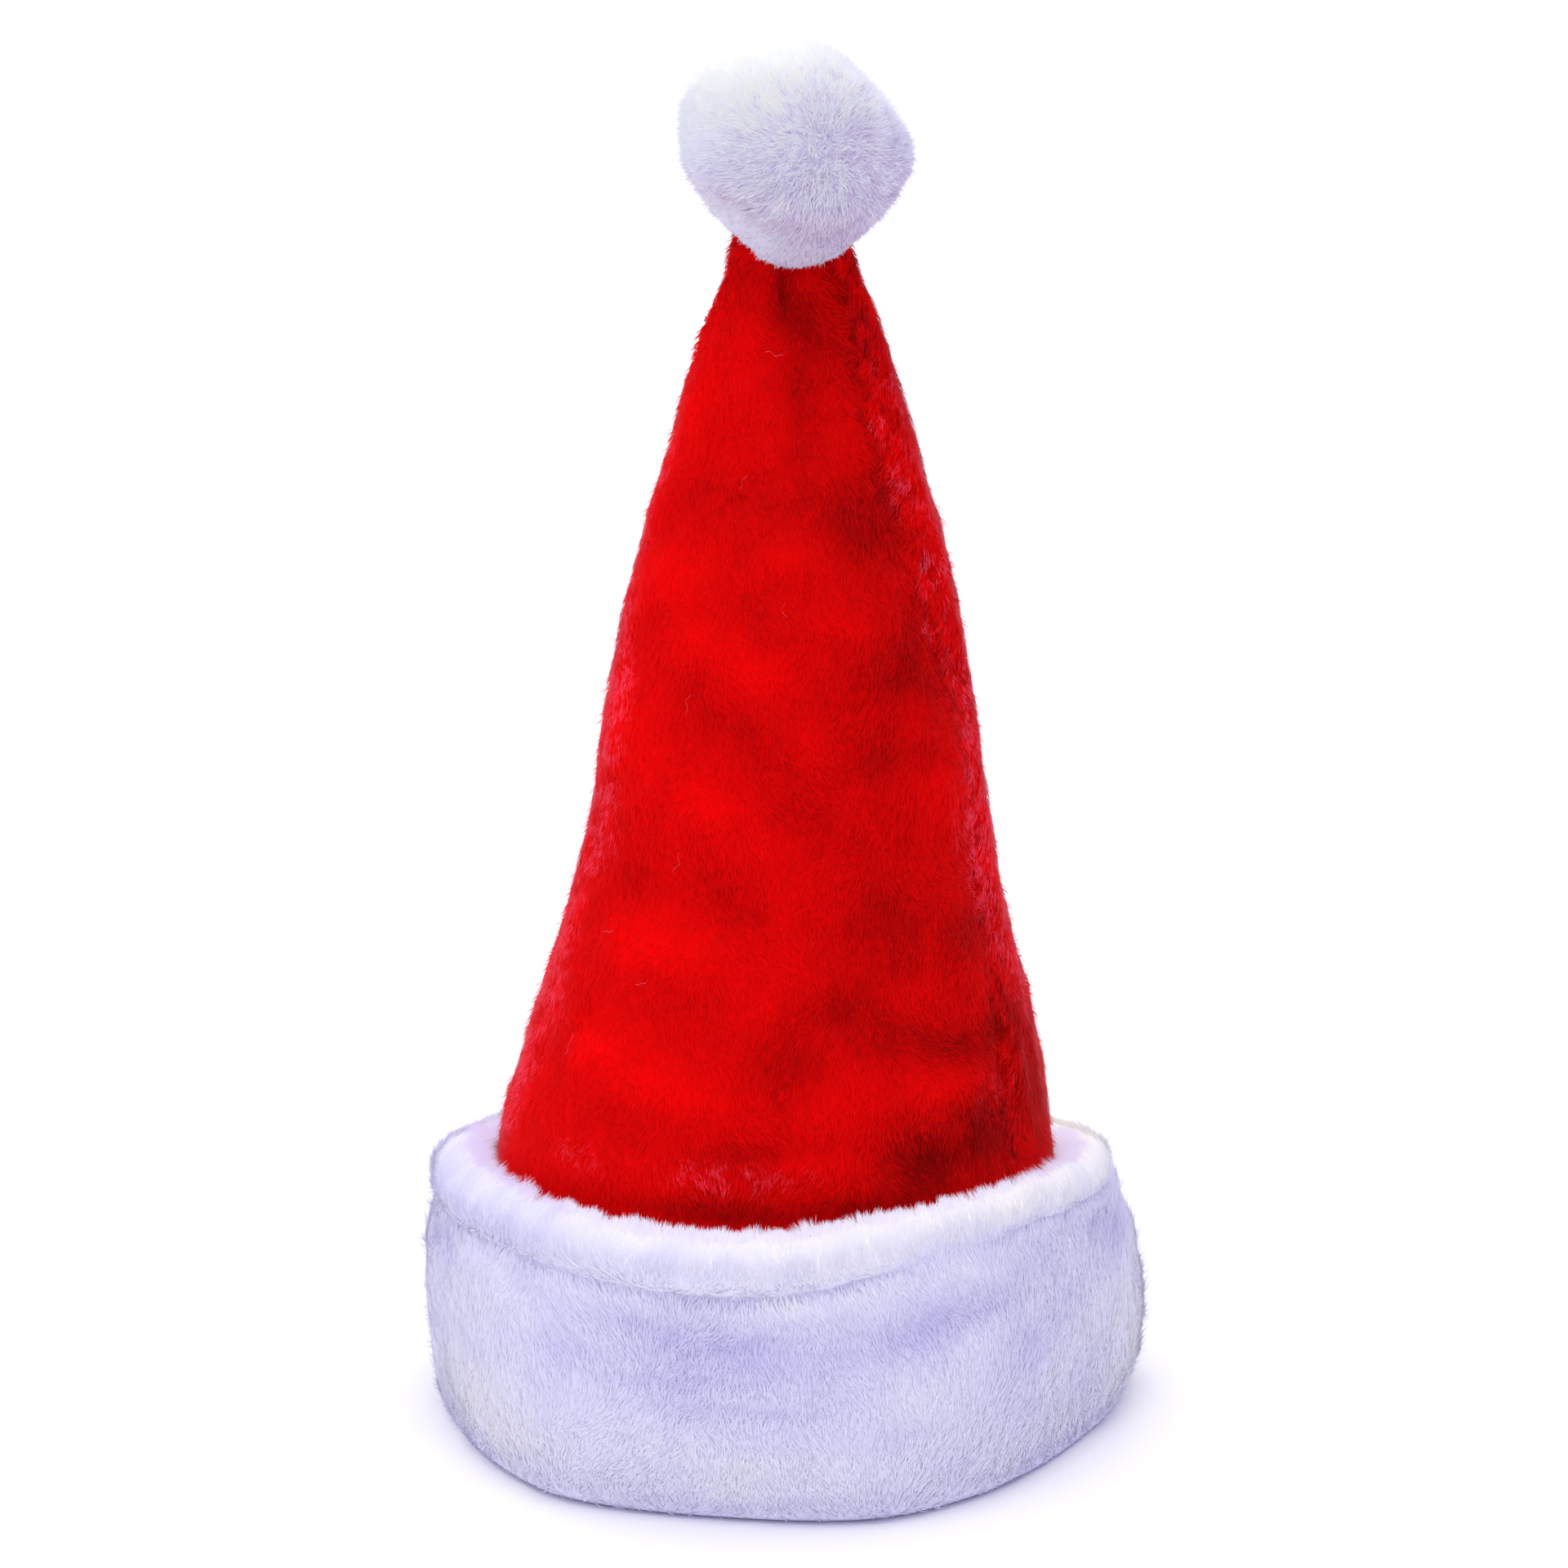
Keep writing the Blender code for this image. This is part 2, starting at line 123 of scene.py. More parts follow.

# Painted sheen, pale pink, on the tips of the crown's pile where light grazes it: azimuth, share of the
# height, spreads in degrees and in shares, amount
CROWN_PAINTED_SHEEN = (
    (-30, 0.845, 7, 0.010, 0.8), (-26, 0.800, 9, 0.020, 0.6), (-21, 0.724, 8, 0.014, 0.9),
    (-30, 0.678, 7, 0.014, 0.7), (-12, 0.860, 9, 0.040, 0.7), (-10, 0.760, 9, 0.060, 1.0),
    (-14, 0.620, 8, 0.040, 0.5), (-16, 0.500, 14, 0.050, 2.2), (-11, 0.585, 9, 0.060, 1.3),
    (-9, 0.430, 10, 0.060, 1.5), (-5, 0.370, 8, 0.045, 1.2), (-159, 0.620, 10, 0.050, 1.6),
    (-158, 0.520, 9, 0.045, 1.6), (-160, 0.360, 7, 0.050, 0.5), (-174, 0.560, 11, 0.180, 1.8),
    (-174, 0.800, 10, 0.070, 1.2), (-171, 0.380, 9, 0.080, 1.3), (-175, 0.290, 10, 0.060, 1.8),
    (-167, 0.256, 5, 0.014, 1.2), (-137, 0.262, 9, 0.014, 0.6), (-108, 0.262, 9, 0.012, 0.6),
    (-95, 0.262, 14, 0.012, 0.5), (-32, 0.300, 10, 0.030, 0.4), (15, 0.640, 16, 0.080, 0.3),
    (140, 0.500, 16, 0.090, 0.5),
)

# Stray curly hairs caught in the crown's pile: azimuth, share of the height, turn from upright, length
STRAY_HAIRS = (
    (-100, 0.900, 95, 0.00495), (-112, 0.800, 10, 0.00495), (-90, 0.700, -8, 0.00605),
    (-122, 0.625, 5, 0.00605), (-122, 0.497, 12, 0.00660), (-142, 0.432, 80, 0.00550),
    (-127, 0.400, 70, 0.00440), (-147, 0.335, 8, 0.00715), (60, 0.520, 20, 0.00550),
    (110, 0.700, 75, 0.00495), (140, 0.380, 10, 0.00605), (25, 0.330, 60, 0.00550),
)

# Line of stitches under the cuff's roll: azimuth, share of the cuff's height, depth as a share of the deepest
CREASE = (
    (-180, 0.830, 0.7), (-160, 0.825, 1.0), (-140, 0.838, 0.9), (-120, 0.832, 0.8), (-100, 0.832, 1.0),
    (-85, 0.840, 1.0), (-72, 0.868, 0.9), (-62, 0.890, 0.3), (-52, 0.885, 0.8), (-40, 0.888, 1.0),
    (-20, 0.895, 1.0), (10, 0.880, 0.8), (60, 0.845, 0.9), (120, 0.830, 0.8), (180, 0.830, 0.7),
)

# Where the cuff swells past its packed form: azimuth, share of its height, spreads, metres
CUFF_SWELL = (
    (0, 0.42, 38, 0.55, 0.0021), (0, 0.76, 30, 0.13, 0.0013), (-176, 0.52, 34, 0.36, 0.0021),
    (-172, 0.97, 26, 0.10, -0.0012),
)

# Hollows and ridges of the cuff's band, as for the crown, in shares of the cuff's height, also painted on its
# pile as shade and highlight
CUFF_FOLDS_AND_SHADE = (
    (-88, 0.765, 20, 0.030, 0.80), (-62, 0.805, 12, 0.026, 0.60), (-102, 0.650, 14, 0.045, -0.80),
    (-122, 0.700, 14, 0.040, -0.45), (-121, 0.560, 10, 0.030, -0.50), (-112, 0.480, 12, 0.036, -0.60),
    (-101, 0.400, 10, 0.036, -0.70), (-70, 0.620, 12, 0.070, -0.80), (-55, 0.660, 12, 0.060, -0.50),
    (-42, 0.500, 16, 0.060, -0.15), (-12, 0.740, 10, 0.080, -0.80), (-168, 0.700, 9, 0.070, -0.60),
    (-152, 0.450, 14, 0.200, 0.45), (-132, 0.250, 18, 0.120, 0.30), (-107, 0.270, 5, 0.060, 0.65),
    (-94, 0.215, 14, 0.030, 0.55), (-92, 0.110, 26, 0.040, 0.20), (-64, 0.400, 7, 0.110, 0.60),
    (-22, 0.460, 8, 0.090, 0.65), (-36, 0.330, 8, 0.050, 0.30), (-96, 0.560, 14, 0.070, -0.85),
    (-8, 0.320, 13, 0.230, 0.95), (-145, 0.200, 16, 0.150, 0.75), (-91, 0.150, 12, 0.060, 0.45),
)

# Flats and corners of the pompom: direction, spread in radians and metres moved that way
BALL_SHAPE = (
    ((-0.95, -0.20, 0.00), 0.55, -0.0020),
    ((-0.72, -0.30, -0.62), 0.45, -0.0050),
    ((0.05, -0.62, -0.78), 0.40, -0.0034),
    ((-0.45, -0.60, -0.66), 0.40, -0.0048),
    ((0.55, -0.50, -0.67), 0.40, -0.0016),
    ((0.72, -0.10, 0.68), 0.40, -0.0022),
    ((1.00, -0.10, -0.10), 0.30, 0.0008),
    ((-0.72, -0.05, 0.70), 0.30, 0.0012),
)


# Numbers on surfaces

def unit(rows):
    """Rows scaled to length one."""
    return rows / np.maximum(np.linalg.norm(rows, axis=1, keepdims=True), 1e-9)


def way_of(direction):
    """One direction scaled to length one."""
    return unit(np.array([direction]))[0]


def flat_on(rows, normals):
    """Rows with their part along the normals taken off, scaled to length one."""
    return unit(rows - normals * np.sum(rows * normals, axis=1, keepdims=True))


def drift(points, wavelength, seed, waves=9):
    """A smooth field over space, about -1 to 1, that changes over `wavelength` metres."""
    rng = np.random.default_rng(seed)
    heading = unit(rng.normal(size=(waves, 3)))
    pitch = 2.0 * math.pi / (wavelength * rng.uniform(0.7, 1.5, waves))
    phase = rng.uniform(0.0, 2.0 * math.pi, waves)
    return np.sin(points @ (heading * pitch[:, None]).T + phase).sum(axis=1) / math.sqrt(waves)


def drifts(points, table):
    """Summed smooth fields of a table of amounts, wavelengths and seeds."""
    return sum(amount * drift(points, wavelength, seed) for amount, wavelength, seed in table)


def degrees_round(points):
    """Azimuth of each point round the hat."""
    return np.degrees(np.arctan2(points[:, 1], points[:, 0]))


def degrees_off(azimuth, middle):
    """Degrees from one azimuth to another, -180 to 180."""
    return (azimuth - middle + 180.0) % 360.0 - 180.0


def outward(places):
    """Level direction from the hat's axis to each place."""
    return unit(places * (1, 1, 0))


def rightness(places):
    """One on the hat's right, minus one on its left."""
    return places[:, 0] / np.maximum(np.hypot(places[:, 0], places[:, 1]), 0.01)


def behind(places):
    """Zero on the side that the photo shows, one at the back."""
    return step_up(places[:, 1], 0.0, 0.03)


def past_front(places, start=-0.080):
    """Zero on the front of the cuff, one at its sides and back."""
    return step_up(places[:, 1], start, start + 0.045)


def shade_at(patches, azimuth, up):
    """Summed shades of a table of patches at each place."""
    total = np.zeros(len(up))
    for middle, height, wide, tall, shade in patches:
        total += shade * bell(degrees_off(azimuth, middle), wide) * bell(up - height, tall)
    return total


def bell(distance, spread):
    """One at no distance, dying down over `spread`."""
    return np.exp(-np.square(distance / spread))


def step_up(value, start, end):
    """Zero before start, one after end, smooth between."""
    share = np.clip((value - start) / (end - start), 0.0, 1.0)
    return share * share * (3.0 - 2.0 * share)


# Cloth under the pile

def mesh_numbers(mesh):
    """Vertices, vertex normals and triangles of a mesh as arrays."""
    count = len(mesh.vertices)
    places = np.empty(count * 3, np.float32)
    normals = np.empty(count * 3, np.float32)
    mesh.vertices.foreach_get("co", places)
    mesh.vertices.foreach_get("normal", normals)
    mesh.calc_loop_triangles()
    corners = np.empty(len(mesh.loop_triangles) * 3, np.int32)
    mesh.loop_triangles.foreach_get("vertices", corners)
    return (places.reshape(-1, 3).astype(float), normals.reshape(-1, 3).astype(float), corners.reshape(-1, 3))


def set_places(piece, places):
    """Puts a piece's vertices at the given places."""
    piece.data.vertices.foreach_set("co", places.ravel())
    piece.data.update()


def new_piece(name, mesh):
    """An object at the origin that shows a mesh."""
    piece = bpy.data.objects.new(name, mesh)
    bpy.context.scene.collection.objects.link(piece)
    return piece


def refined_copy(node, name, levels):
    """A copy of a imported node's mesh, merged, made quads again and subdivided."""
    bm = bmesh.new()
    bm.from_mesh(NODES[node].data)
    bmesh.ops.remove_doubles(bm, verts=bm.verts, dist=1e-6)
    bmesh.ops.join_triangles(bm, faces=bm.faces, angle_face_threshold=math.radians(60),
                             angle_shape_threshold=math.radians(60))
    mesh = bpy.data.meshes.new(name)
    bm.to_mesh(mesh)
    bm.free()
    piece = new_piece(name, mesh)
    if levels:
        smooth = piece.modifiers.new("smooth", "SUBSURF")
        smooth.levels = levels
        smooth.render_levels = levels
        apply_all(piece)
    return piece


def apply_all(piece):
    """Turns a piece's modifiers into its mesh."""
    graph = bpy.context.evaluated_depsgraph_get()
    finished = bpy.data.meshes.new_from_object(piece.evaluated_get(graph))
    piece.modifiers.clear()
    piece.data = finished


def move_out(piece, distance_at):
    """Moves each vertex along its normal by what distance_at gives for the places and normals."""
    places, normals, _ = mesh_numbers(piece.data)
    places += normals * distance_at(places, normals)[:, None]
    set_places(piece, places)


def ease_out(piece, share_at, times):
    """Evens a piece's surface where share_at says, each vertex towards the middle of its neighbours."""
    places, _, _ = mesh_numbers(piece.data)
    pairs = np.empty(len(piece.data.edges) * 2, np.int32)
    piece.data.edges.foreach_get("vertices", pairs)
    first, second = pairs.reshape(-1, 2).T
    count = len(places)
    joined = np.bincount(first, minlength=count) + np.bincount(second, minlength=count)
    share = 0.5 * share_at(places)[:, None]
    for _ in range(times):
        total = [np.bincount(first, places[second, i], count) + np.bincount(second, places[first, i], count)
                 for i in range(3)]
        places += share * (np.stack(total, axis=1) / joined[:, None] - places)
    set_places(piece, places)


def crown_place(places):
    """Azimuth, share of the crown's height and metres from the nearer side seam, with its sign."""
    up = (places[:, 2] - CROWN_FOOT) / CROWN_TALL
    azimuth = degrees_round(places)
    right = np.interp(up, *np.array(RIGHT_SEAM).T)
    from_right = degrees_off(azimuth, right)
    from_left = degrees_off(azimuth, right + LEFT_SEAM_TURN)
    nearer = np.where(np.abs(from_right) < np.abs(from_left), from_right, from_left)
    return azimuth, up, np.radians(nearer) * np.hypot(places[:, 0], places[:, 1])


def roll_heights(piece):
    """Height of the cuff's roll by azimuth, as two arrays for np.interp."""
    places, _, _ = mesh_numbers(piece.data)
    azimuth = degrees_round(places)
    marks = np.arange(-180.0, 181.0, 5.0)
    tops = [places[np.abs(degrees_off(azimuth, mark)) < 4.0, 2].max() for mark in marks]
    return marks, np.array(tops)


def outwardness(places, normals):
    """How far each normal points away from the hat's axis, -1 to 1."""
    return np.sum(normals * outward(places), axis=1)


def paint_tone(piece, tone_at):
    """Gives a skin the map of tone and reach that its pile's material reads."""
    places, normals, _ = mesh_numbers(piece.data)
    tone = np.clip(tone_at(places, normals), 0.02, 0.98)
    corners = np.empty(len(piece.data.loops), np.int32)
    piece.data.loops.foreach_get("vertex_index", corners)
    spots = np.stack((tone[corners], np.full(len(corners), TIP_REACH)), axis=1)
    piece.data.uv_layers.new(name="Pile").data.foreach_set("uv", spots.astype(np.float32).ravel())


# Pile

def scatter(piece, count, rng, worth):
    """Random points on a piece's surface, with their normals.
    worth weighs a place by its centre and the way it faces: zero leaves it bare."""
    places, normals, corners = mesh_numbers(piece.data)
    first, second, third = (places[corners[:, i]] for i in range(3))
    cross = np.cross(second - first, third - first)
    area = np.linalg.norm(cross, axis=1) / 2.0
    facing = unit(cross)
    weight = area * worth((first + second + third) / 3.0, facing)
    chosen = np.searchsorted(np.cumsum(weight) / weight.sum(), rng.random(count))
    along, across = rng.random((2, count))
    over = along + across > 1.0
    along[over] = 1.0 - along[over]
    across[over] = 1.0 - across[over]
    shares = np.stack((1.0 - along - across, along, across), axis=1)[:, :, None]
    picked = corners[chosen]
    return (places[picked] * shares).sum(axis=1), unit((normals[picked] * shares).sum(axis=1))


def gather_tufts(points, offsets, rng, tuft, pull):
    """Leans each hair's offset towards the tip of its tuft. Returns the offsets and the tufts' tones."""
    count = max(int(len(points) / tuft), 1)
    heads = rng.choice(len(points), count, replace=False)
    tree = KDTree(count)
    for i, head in enumerate(heads):
        tree.insert(points[head], i)
    tree.balance()
    near = np.array([tree.find(point)[1] for point in points])
    aims = points[heads][near] + offsets[heads][near] - points
    tones = rng.normal(0.0, 1.0, count)[near]
    return offsets * (1.0 - pull) + aims * pull, tones


def hair_mesh(name, points, normals, offsets, bends, width, tone, painted_sheen, soften):
    """One mesh of flat hairs: a root, a middle pair and a tip each, with a map of tone and reach.
    soften is how far a hair is shaded by the normals given, not by its own blade."""
    soften = np.reshape(soften, (-1, 1))
    count = len(points)
    side = unit(np.cross(offsets, normals)) * (width[:, None] / 2.0)
    middle = points + offsets * 0.5 + bends
    corners = np.empty((count, 4, 3))
    corners[:, 0] = points - normals * ROOT_SINK
    corners[:, 1] = middle + side
    corners[:, 2] = points + offsets
    corners[:, 3] = middle - side
    mesh = bpy.data.meshes.new(name)
    mesh.vertices.add(count * 4)
    mesh.vertices.foreach_set("co", corners.astype(np.float32).ravel())
    first = np.arange(count)[:, None] * 4
    faces = np.concatenate((first + (0, 1, 3), first + (1, 2, 3)), axis=1).ravel()
    mesh.loops.add(count * 6)
    mesh.loops.foreach_set("vertex_index", faces.astype(np.int32))
    mesh.polygons.add(count * 2)
    mesh.polygons.foreach_set("loop_start", np.arange(0, count * 6, 3, dtype=np.int32))
    # for the corners of a hair's two triangles: root, side, side, then side, tip, side
    reach = np.array((0.02, 0.5, 0.5, 0.5, TIP_REACH, 0.5))
    # share of the tip's painted sheen at each corner
    painted_sheen_share = np.array((0.0, 0.28, 0.28, 0.28, 0.38, 0.28))
    sway = np.array((0.0, 0.012, -0.012, 0.012, 0.0, -0.012))
    spots = np.empty((count, 6, 2), np.float32)
    spots[:, :, 0] = np.clip(tone, 0.02, 0.98)[:, None] + sway
    spots[:, :, 1] = reach + painted_sheen[:, None] * painted_sheen_share
    for layer in ("Pile", "OFBake"):
        mesh.uv_layers.new(name=layer).data.foreach_set("uv", spots.ravel())
    mesh.update()
    mesh.polygons.foreach_set("use_smooth", np.ones(count * 2, bool))
    own = unit(np.cross(corners[:, 1] - corners[:, 0], corners[:, 3] - corners[:, 0]))
    own = own * np.sign(np.sum(own * normals, axis=1))[:, None]
    shade = unit(normals * soften + own * (1.0 - soften))
    mesh.normals_split_custom_set_from_vertices(np.repeat(shade, 4, axis=0).tolist())
    return new_piece(name, mesh)


def grow_pile(name, skin, hairs, seed, worth, aim, tone_at, plan):
    """Grows one piece of pile on a skin.
    worth weighs a place, aim gives the way a hair points, tone_at its tone. plan holds length_at, width,
    lift (None keeps the aim as given), guard (share of thin hairs that stand up), guard_lift, scatter,
    tuft (hairs in a tuft), pull, soften (a number, or a function of the points), contrast_at (how much
    the hairs' tones differ), painted_sheen_at (how much painted sheen the tips carry) and face (the way
    that the pile faces the light)."""
    rng = np.random.default_rng(seed)
    points, normals = scatter(skin, hairs, rng, worth)
    heading = unit(aim(points, normals)) + rng.normal(0.0, plan["scatter"], (hairs, 3))
    length = plan["length_at"](points, normals) * rng.uniform(0.7, 1.2, hairs)
    width = plan["width"] * rng.uniform(0.7, 1.3, hairs)
    if plan["lift"] is None:
        offsets = unit(heading) * length[:, None]
    else:
        guard = rng.random(hairs) < plan["guard"]
        lift = np.where(guard, plan["guard_lift"], plan["lift"]) * rng.uniform(0.6, 1.4, hairs)
        width = np.where(guard, 0.5 * width, width)
        along = flat_on(heading, normals)
        offsets = (along * np.cos(lift)[:, None] + normals * np.sin(lift)[:, None]) * length[:, None]
    offsets, tuft_tone = gather_tufts(points, offsets, rng, plan["tuft"], plan["pull"])
    low = np.sum(offsets * normals, axis=1)
    offsets += normals * (np.maximum(0.08 * length - low, 0.0))[:, None]
    offsets[:, 2] += np.maximum(FLOOR_GAP - (points + offsets)[:, 2], 0.0)
    bends = normals * (0.05 * length)[:, None]
    contrast = plan["contrast_at"](points, normals)
    tone = tone_at(points, normals) + contrast * (0.4 * tuft_tone + rng.normal(0.0, 1.0, hairs))
    painted_sheen = np.clip(plan["painted_sheen_at"](points) * rng.uniform(0.3, 1.4, hairs), 0.0, 1.0)
    faces = plan["face"](points, normals)
    soften = plan["soften"](points) if callable(plan["soften"]) else plan["soften"]
    return hair_mesh(name, points, faces, offsets, bends, width, tone, painted_sheen, soften)


def grow_halves(name, skin, hairs, seed, worth, aim, tone_at, plan):
    """Grows pile in two pieces, on the front and on the back of a skin. Returns both."""
    made = []
    for turn, (half, side) in enumerate((("front", -1.0), ("back", 1.0))):

        def worth_here(centres, facing):
            return worth(centres, facing) * (centres[:, 1] * side > 0.0)

        made.append(grow_pile(f"{name}_{half}", skin, hairs, seed + turn, worth_here, aim, tone_at, plan))
    return made


def own_normals(points, normals):
    """Pile that faces the light as its skin does."""
    return normals


def no_painted_sheen(points):
    """Pile without painted sheen on its tips."""
    return np.zeros(len(points))


# Materials

def new_group(name, inputs, outputs):
    """A shader node group with named sockets. Each input is a name, a kind and a default."""
    group = bpy.data.node_groups.new(name, "ShaderNodeTree")
    for label, kind, default in inputs:
        socket = group.interface.new_socket(name=label, in_out="INPUT", socket_type=kind)
        socket.default_value = default
    for label, kind in outputs:
        group.interface.new_socket(name=label, in_out="OUTPUT", socket_type=kind)
    return group, group.nodes.new("NodeGroupInput"), group.nodes.new("NodeGroupOutput")


def add_node(tree, kind, **settings):
    """A new shader node in a tree, with its settings."""
    node = tree.nodes.new("ShaderNode" + kind)
    for name, value in settings.items():
        setattr(node, name, value)
    return node


def pile_colour_group():
    """Colour of pile: deep, main and pale by its tone, with painted shade deeper towards the roots and
    painted sheen at the tips.
    """
    group, source, sink = new_group(
        "pile_colour_and_painted_light",
        (("Deep", "NodeSocketColor", (0, 0, 0, 1)), ("Main", "NodeSocketColor", (0.5, 0.5, 0.5, 1)),
         ("Pale", "NodeSocketColor", (1, 1, 1, 1)), ("Painted sheen", "NodeSocketColor", (1, 1, 1, 1))),
        (("Color", "NodeSocketColor"),))
    link = group.links.new
    split = add_node(group, "SeparateXYZ")
    link(add_node(group, "UVMap", uv_map="Pile").outputs["UV"], split.inputs[0])

    def spread(socket, low, high, start, end):
        node = add_node(group, "MapRange")
        for label, value in (("From Min", low), ("From Max", high), ("To Min", start), ("To Max", end)):
            node.inputs[label].default_value = value
        link(socket, node.inputs["Value"])
        return node.outputs["Result"]

    def blend(share, first, second):
        node = add_node(group, "Mix", data_type="RGBA")
        for label, socket in (("Factor", share), ("A", first), ("B", second)):
            link(socket, node.inputs[label])
        return node.outputs["Result"]

    tone, reach = split.outputs["X"], split.outputs["Y"]
    deep, main, pale, painted_sheen = (source.outputs[label] for label in ("Deep", "Main", "Pale", "Painted sheen"))
    lower = blend(spread(tone, 0.0, 0.5, 0.0, 1.0), deep, main)
    whole = blend(spread(tone, 0.5, 1.0, 0.0, 1.0), lower, pale)
    # Painted shade among the roots, then painted sheen on the tips
    rooted = blend(spread(reach, 0.0, TIP_REACH, 0.65, 1.0), deep, whole)
    tipped = blend(spread(reach, TIP_REACH, 0.98, 0.0, 1.0), rooted, painted_sheen)
    link(tipped, sink.inputs["Color"])
    return group


def knit_group():
    """Height of the backing's rows of knitted loops."""
    group, source, sink = new_group(
        "knit_backing",
        (("Rows", "NodeSocketFloat", 400.0), ("Uneven", "NodeSocketFloat", 2.0)),
        (("Height", "NodeSocketFloat"),))
    place = add_node(group, "TexCoord")
    rows = add_node(group, "TexWave", bands_direction="Z", wave_profile="SIN")
    fine = add_node(group, "TexNoise")
    scale = add_node(group, "Math", operation="MULTIPLY")
    scale.inputs[1].default_value = 4.0
    mixed = add_node(group, "Math", operation="MULTIPLY")
    link = group.links.new
    link(place.outputs["Object"], rows.inputs["Vector"])
    link(source.outputs["Rows"], rows.inputs["Scale"])
    link(source.outputs["Uneven"], rows.inputs["Distortion"])
    link(source.outputs["Rows"], scale.inputs[0])
    link(place.outputs["Object"], fine.inputs["Vector"])
    link(scale.outputs[0], fine.inputs["Scale"])
    link(rows.outputs["Fac"], mixed.inputs[0])
    link(fine.outputs["Fac"], mixed.inputs[1])
    link(mixed.outputs[0], sink.inputs["Height"])
    return group


def shared_group(name):
    """The node group of that name, built the first time it is wanted."""
    build = {"pile_colour_and_painted_light": pile_colour_group, "knit_backing": knit_group}[name]
    return bpy.data.node_groups.get(name) or build()


def new_material(name, roughness, sheen=0.0, sheen_tint=(1.0, 1.0, 1.0)):
    """A cloth material and its shader node."""
    material = bpy.data.materials.new(name)
    material.use_nodes = True
    shader = material.node_tree.nodes["Principled BSDF"]
    shader.inputs["Roughness"].default_value = roughness
    shader.inputs["Specular IOR Level"].default_value = 0.04
    shader.inputs["Sheen Weight"].default_value = sheen
    shader.inputs["Sheen Roughness"].default_value = 0.18
    shader.inputs["Sheen Tint"].default_value = (*sheen_tint, 1.0)
    return material, shader


def pile_material(name, deep, main, pale, sheen, sheen_tint, painted_sheen=(1.0, 1.0, 1.0)):
    """Pile whose colour follows each hair's tone and reach."""
    material, shader = new_material(name, 0.75, sheen, sheen_tint)
    node = add_node(material.node_tree, "Group", node_tree=shared_group("pile_colour_and_painted_light"))
    for label, colour in (("Deep", deep), ("Main", main), ("Pale", pale), ("Painted sheen", painted_sheen)):
        node.inputs[label].default_value = (*colour, 1.0)
    material.node_tree.links.new(node.outputs["Color"], shader.inputs["Base Color"])
    return material


def backing_material(name, dark, light, rows):
    """Knitted backing: two tones over the loops, with their height as bump."""
    material, shader = new_material(name, 0.9)
    tree, link = material.node_tree, material.node_tree.links.new
    node = add_node(tree, "Group", node_tree=shared_group("knit_backing"))
    node.inputs["Rows"].default_value = rows
    tones = add_node(tree, "Mix", data_type="RGBA")
    tones.inputs["A"].default_value = (*dark, 1.0)
    tones.inputs["B"].default_value = (*light, 1.0)
    bump = add_node(tree, "Bump")
    bump.inputs["Strength"].default_value = 0.5
    bump.inputs["Distance"].default_value = 0.0004
    link(node.outputs["Height"], tones.inputs["Factor"])
    link(tones.outputs["Result"], shader.inputs["Base Color"])
    link(node.outputs["Height"], bump.inputs["Height"])
    link(bump.outputs["Normal"], shader.inputs["Normal"])
    return material


def dress(piece, material):
    """Gives a piece its material and its body."""
    piece.data.materials.clear()
    piece.data.materials.append(material)
    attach(piece, "root")


def dress_pile(pile, material):
    """Dresses a piece of pile. Its flat hairs cast no shadow, which would grey the plush."""
    dress(pile, material)
    pile.visible_shadow = False


def line_inside(piece, material, inside):
    """Adds a second material to the faces that `inside` picks by their centres and normals."""
    piece.data.materials.append(material)
    count = len(piece.data.polygons)
    centres, normals = np.empty(count * 3), np.empty(count * 3)
    piece.data.polygons.foreach_get("center", centres)
    piece.data.polygons.foreach_get("normal", normals)
    chosen = inside(centres.reshape(-1, 3), normals.reshape(-1, 3))
    piece.data.polygons.foreach_set("material_index", chosen.astype(np.int32))


# Sizes and colours a user would change

def length_setting(name, description, default):
    """A length in metres."""
    return FloatProperty(name=name, description=description, default=default,
                         unit="LENGTH", subtype="DISTANCE")


def colour_setting(name, description, default):
    """A colour of three parts."""
    return FloatVectorProperty(name=name, description=description, default=default, size=3, subtype="COLOR")


class CrownSettings(bpy.types.PropertyGroup):
    """Sizes and colours of the red cone."""
    hairs: IntProperty(name="Hairs", description="Hairs in each half of the crown's pile", default=95000)
    length: length_setting("Pile length", "Length of a hair", 0.0043)
    width: length_setting("Hair width", "Width of a lock of hairs", 0.00048)
    main: colour_setting("Red", "Colour of the pile", (0.70, 0.0002, 0.0004))
    # Bright and deep red also carry painted highlight on the ridges and painted shade in the hollows and at
    # the roots
    pale: colour_setting("Bright red", "Colour of the pile where it opens", (0.98, 0.0003, 0.0008))
    deep: colour_setting("Deep red", "Colour of the pile where it closes", (0.22, 0.0001, 0.0002))
    # Painted sheen: the pale pink of the tips where light grazes the pile
    painted_sheen: colour_setting("Painted sheen", "Colour of the hairs' tips where the pile is ruffled",
                          (0.95, 0.075, 0.135))
    sheen: FloatProperty(name="Sheen", description="Light on the hairs seen from the side", default=0.90)
    sheen_tint: colour_setting("Sheen tint", "Colour of that light", (1.0, 0.30, 0.42))


